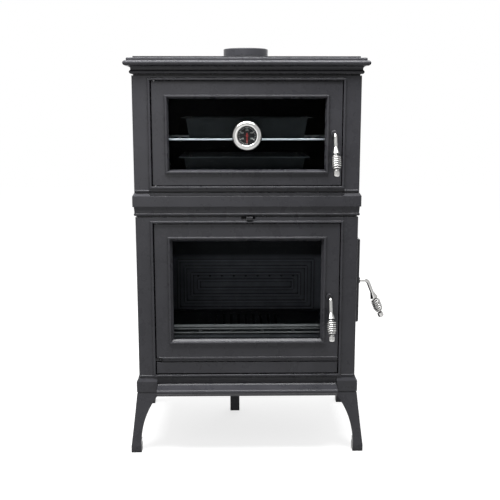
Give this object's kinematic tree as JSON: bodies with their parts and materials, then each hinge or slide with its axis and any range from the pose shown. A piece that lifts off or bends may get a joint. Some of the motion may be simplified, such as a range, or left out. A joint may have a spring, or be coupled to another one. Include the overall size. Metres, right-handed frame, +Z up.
{
  "type": "cast iron stove",
  "caption": "Freestanding cast iron wood stove: glazed oven above a glazed firebox, side loading door, ash drawer, air slide and flue spigot on flared legs.",
  "frame": {"origin": "middle of the bounding box in plan, on the floor under the feet", "axes": "+X to the viewer's right of the front, +Y from the front to the back, +Z up"},
  "size_m": [0.6928, 0.4418, 1.078],
  "materials": {
    "painted_iron": "matte anthracite stove paint over cast iron",
    "fire_iron": "rough heat-greyed cast iron",
    "bright_nickel": "polished nickel plate",
    "plain_steel": "plain steel",
    "rack_steel": "bright drawn wire",
    "dark_enamel": "dark enamel on sheet steel",
    "tray_steel": "satin sheet steel",
    "pan_steel": "plain sheet steel",
    "door_glass": "clear heat-proof glass",
    "lens_glass": "clear glass",
    "dial_black": "black dial with plain white marks",
    "needle_red": "red enamel",
    "rope_seal": "black glass-fibre rope"
  },
  "bodies": {
    "stove": {"top_plate": "painted_iron", "flue_collar": "painted_iron", "frame_fasteners": "plain_steel", "oven_front_plate": "painted_iron", "oven_left_panel": "painted_iron", "oven_right_panel": "painted_iron", "oven_back_panel": "painted_iron", "oven_liner": "dark_enamel", "oven_rack": "rack_steel", "upper_tray": "tray_steel", "lower_tray": "tray_steel", "mid_plate": "painted_iron", "firebox_front_plate": "painted_iron", "firebox_left_panel": "painted_iron", "firebox_right_panel": "painted_iron", "firebox_back_panel": "painted_iron", "back_fire_plate": "fire_iron", "left_fire_plate": "fire_iron", "right_fire_plate": "fire_iron", "baffle_plate": "fire_iron", "firebed_plate": "fire_iron", "fire_grate": "fire_iron", "log_guard": "fire_iron", "base_plate": "painted_iron", "ash_lip": "painted_iron", "front_left_leg": "painted_iron", "front_right_leg": "painted_iron", "rear_left_leg": "painted_iron", "rear_right_leg": "painted_iron", "centre_foot": "painted_iron", "hinge_pins": "plain_steel"},
    "oven_door": {"oven_door_leaf": "painted_iron", "oven_door_glass": "door_glass", "oven_door_fasteners": "plain_steel", "oven_door_rope": "rope_seal", "thermometer_bezel": "bright_nickel", "thermometer_dial": "dial_black", "thermometer_lens": "lens_glass"},
    "thermometer_needle": {"thermometer_needle": "needle_red"},
    "oven_handle": {"oven_handle_rod": "bright_nickel", "oven_handle_coil": "bright_nickel", "oven_handle_cap": "bright_nickel", "oven_handle_tongue": "plain_steel"},
    "fire_door": {"fire_door_leaf": "painted_iron", "fire_door_glass": "door_glass", "fire_door_fasteners": "plain_steel", "fire_door_rope": "rope_seal"},
    "fire_handle": {"fire_handle_rod": "bright_nickel", "fire_handle_coil": "bright_nickel", "fire_handle_cap": "bright_nickel", "fire_handle_tongue": "plain_steel"},
    "side_door": {"side_door_leaf": "painted_iron", "side_door_rope": "rope_seal"},
    "side_handle": {"side_handle_rod": "bright_nickel", "side_handle_coil": "bright_nickel", "side_handle_cap": "bright_nickel", "side_handle_tongue": "plain_steel"},
    "air_slide": {"air_slide": "painted_iron"},
    "ash_drawer": {"ash_drawer_front": "painted_iron", "ash_pan": "pan_steel"}
  },
  "joints": [
    {"name": "oven_door_hinge", "type": "hinge", "parent": "stove", "child": "oven_door", "pos_m": [-0.26937, -0.14113, 0.85245], "axis": [0, 0, -1], "range_deg": [0, 100]},
    {"name": "oven_handle_turn", "type": "hinge", "parent": "oven_door", "child": "oven_handle", "pos_m": [0.18913, -0.14713, 0.8526], "axis": [0, 1, 0], "range_deg": [0, 90]},
    {"name": "thermometer_pointer", "type": "hinge", "parent": "oven_door", "child": "thermometer_needle", "pos_m": [-0.03337, -0.14713, 0.84801], "axis": [0, 1, 0], "range_deg": [0, 300]},
    {"name": "fire_door_hinge", "type": "hinge", "parent": "stove", "child": "fire_door", "pos_m": [-0.26937, -0.14113, 0.43445], "axis": [0, 0, -1], "range_deg": [0, 90]},
    {"name": "fire_handle_turn", "type": "hinge", "parent": "fire_door", "child": "fire_handle", "pos_m": [0.18463, -0.14713, 0.42548], "axis": [0, 1, 0], "range_deg": [0, 90]},
    {"name": "side_door_hinge", "type": "hinge", "parent": "stove", "child": "side_door", "pos_m": [0.26663, 0.15287, 0.45103], "axis": [0, 0, 1], "range_deg": [0, 110]},
    {"name": "side_handle_turn", "type": "hinge", "parent": "side_door", "child": "side_handle", "pos_m": [0.27263, -0.06113, 0.45103], "axis": [1, 0, 0], "range_deg": [0, 90]},
    {"name": "air_slide_shift", "type": "slide", "parent": "stove", "child": "air_slide", "axis": [1, 0, 0], "range_m": [-0.012, 0.005]},
    {"name": "ash_drawer_pull", "type": "slide", "parent": "stove", "child": "ash_drawer", "axis": [0, -1, 0], "range_m": [0, 0.22]}
  ]
}
